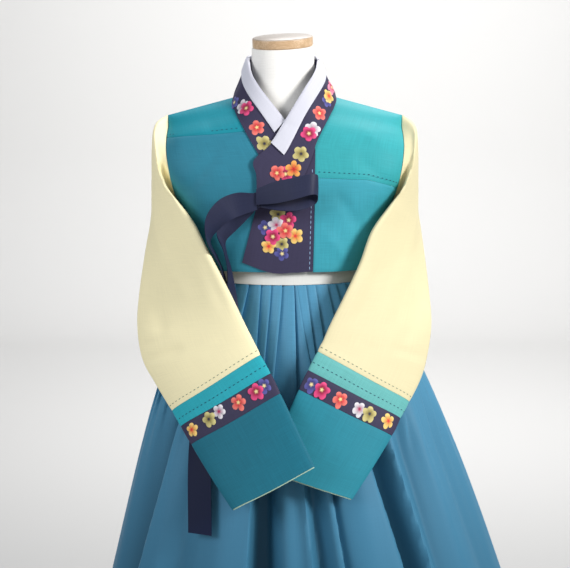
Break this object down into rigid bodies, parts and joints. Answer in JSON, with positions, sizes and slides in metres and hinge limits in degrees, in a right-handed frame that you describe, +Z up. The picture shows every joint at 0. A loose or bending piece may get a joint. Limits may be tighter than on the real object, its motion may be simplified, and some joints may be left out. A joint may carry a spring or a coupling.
{
  "type": "hanbok on dress form",
  "caption": "Korean hanbok: short jacket with wide crossed sleeves and a tied ribbon over a high pleated skirt, on a limbless dress form.",
  "frame": {"origin": "middle of the stand's flat underside, on the floor", "axes": "+Z up, -Y the garment's front, +X the wearer's left"},
  "size_m": [0.9741, 0.7649, 1.479],
  "materials": {
    "body_teal": "satin",
    "body_teal_right": "satin",
    "yoke_turquoise": "satin",
    "sleeve_yellow": "satin",
    "trim_purple": "satin",
    "strip_white": "satin",
    "skirt_blue": "satin",
    "form_cloth": "matte",
    "cap_wood": "satin",
    "stand_iron": "satin"
  },
  "bodies": {
    "root": {"form_torso": "form_cloth", "form_neck_cap": "cap_wood", "form_pole": "stand_iron", "form_base": "stand_iron", "chima_band": "strip_white", "jeogori_front_left": "body_teal", "jeogori_front_right": "body_teal_right", "jeogori_back_left": "body_teal", "jeogori_back_right": "body_teal", "jeogori_yoke_left": "yoke_turquoise", "jeogori_yoke_right": "yoke_turquoise", "jeogori_seop": "trim_purple", "jeogori_git_under": "trim_purple", "jeogori_git_over": "trim_purple", "dongjeong_under": "strip_white", "dongjeong_over": "strip_white", "goreum_knot": "trim_purple", "goreum_loop": "trim_purple", "goreum_long": "trim_purple", "goreum_short": "trim_purple", "chima_width_1": "skirt_blue", "chima_width_2": "skirt_blue", "chima_width_3": "skirt_blue", "chima_width_4": "skirt_blue", "sleeve_left": "sleeve_yellow", "band_turquoise_left": "yoke_turquoise", "band_purple_left": "trim_purple", "cuff_left": "body_teal", "sleeve_right": "sleeve_yellow", "band_turquoise_right": "yoke_turquoise", "band_purple_right": "trim_purple", "cuff_right": "body_teal"}
  },
  "joints": []
}
